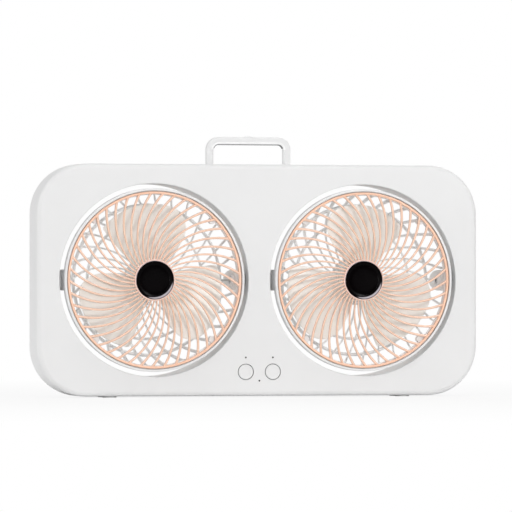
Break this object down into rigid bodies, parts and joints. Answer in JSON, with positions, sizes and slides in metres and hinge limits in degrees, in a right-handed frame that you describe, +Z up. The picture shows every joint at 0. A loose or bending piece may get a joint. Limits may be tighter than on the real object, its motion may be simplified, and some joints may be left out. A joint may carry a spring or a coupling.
{
  "type": "desk fan",
  "caption": "Free-standing flat desk fan with paired tilting round heads, spiral grilles, a pull-out carrying handle and push buttons.",
  "frame": {"origin": "middle of the footprint, on the surface that the feet stand on", "axes": "+Z up, the front with the grilles and buttons faces -Y, +X to the viewer's right"},
  "size_m": [0.39, 0.046, 0.2264],
  "materials": {
    "white_plastic": "satin moulded",
    "peach_plastic": "satin moulded",
    "black_gloss": "polished",
    "black_plastic": "plain",
    "grey_plastic": "plain",
    "clear_plastic": "frosted",
    "rubber": "matt",
    "felt": "felt",
    "screw_steel": "zinc plated",
    "pin_steel": "ground",
    "contact_steel": "nickel plated",
    "bush_brass": "turned",
    "core": "plain",
    "board": "lacquered",
    "cell_wrap": "shrink wrap",
    "lead": "insulated"
  },
  "bodies": {
    "body": {"front_shell": "white_plastic", "rear_shell": "white_plastic", "shell_screws": "screw_steel", "rubber_feet": "rubber", "tilt_bushes": "bush_brass", "handle_guides": "white_plastic", "handle_pads": "felt", "switches": "black_plastic", "control_board": "board", "board_screws": "screw_steel", "light_pipes": "clear_plastic", "battery_cells": "cell_wrap", "battery_cradle": "grey_plastic", "battery_contacts": "contact_steel", "charge_socket": "contact_steel", "charge_board": "board", "wiring": "lead"},
    "handle": {"handle": "white_plastic"},
    "left_button": {"left_button": "white_plastic", "left_plunger": "black_plastic"},
    "right_button": {"right_button": "white_plastic", "right_plunger": "black_plastic"},
    "left_head": {"left_rim": "white_plastic", "left_front_grille": "peach_plastic", "left_hub_cap": "black_gloss", "left_rear_guard": "white_plastic", "left_guard_screws": "screw_steel", "left_tilt_pins": "pin_steel", "left_friction_washers": "rubber", "left_motor_can": "pin_steel", "left_motor_bearings": "bush_brass", "left_magnets": "core", "left_motor_cover": "white_plastic", "left_cover_screws": "screw_steel", "left_motor_lead": "lead"},
    "right_head": {"right_rim": "white_plastic", "right_front_grille": "peach_plastic", "right_hub_cap": "black_gloss", "right_rear_guard": "white_plastic", "right_guard_screws": "screw_steel", "right_tilt_pins": "pin_steel", "right_friction_washers": "rubber", "right_motor_can": "pin_steel", "right_motor_bearings": "bush_brass", "right_magnets": "core", "right_motor_cover": "white_plastic", "right_cover_screws": "screw_steel", "right_motor_lead": "lead"},
    "left_fan": {"left_fan": "white_plastic", "left_shaft": "pin_steel", "left_armature": "core", "left_fan_nut": "bush_brass"},
    "right_fan": {"right_fan": "white_plastic", "right_shaft": "pin_steel", "right_armature": "core", "right_fan_nut": "bush_brass"}
  },
  "joints": [
    {"name": "left_tilt", "type": "hinge", "parent": "body", "child": "left_head", "pos_m": [-0.0926, 0, 0.101], "axis": [1, 0, 0], "range_deg": [-90, 90]},
    {"name": "left_spin", "type": "hinge", "parent": "left_head", "child": "left_fan", "pos_m": [-0.0926, 0, 0.101], "axis": [0, 1, 0], "continuous": true},
    {"name": "right_tilt", "type": "hinge", "parent": "body", "child": "right_head", "pos_m": [0.0926, 0, 0.101], "axis": [1, 0, 0], "range_deg": [-90, 90]},
    {"name": "right_spin", "type": "hinge", "parent": "right_head", "child": "right_fan", "pos_m": [0.0926, 0, 0.101], "axis": [0, -1, 0], "continuous": true},
    {"name": "handle_slide", "type": "slide", "parent": "body", "child": "handle", "axis": [0, 0, 1], "range_m": [-0.0135, 0]},
    {"name": "left_press", "type": "slide", "parent": "body", "child": "left_button", "axis": [0, 1, 0], "range_m": [0, 0.0006], "stiffness_N_per_m": 1200, "springref_m": -0.0003},
    {"name": "right_press", "type": "slide", "parent": "body", "child": "right_button", "axis": [0, 1, 0], "range_m": [0, 0.0006], "stiffness_N_per_m": 1200, "springref_m": -0.0003}
  ]
}
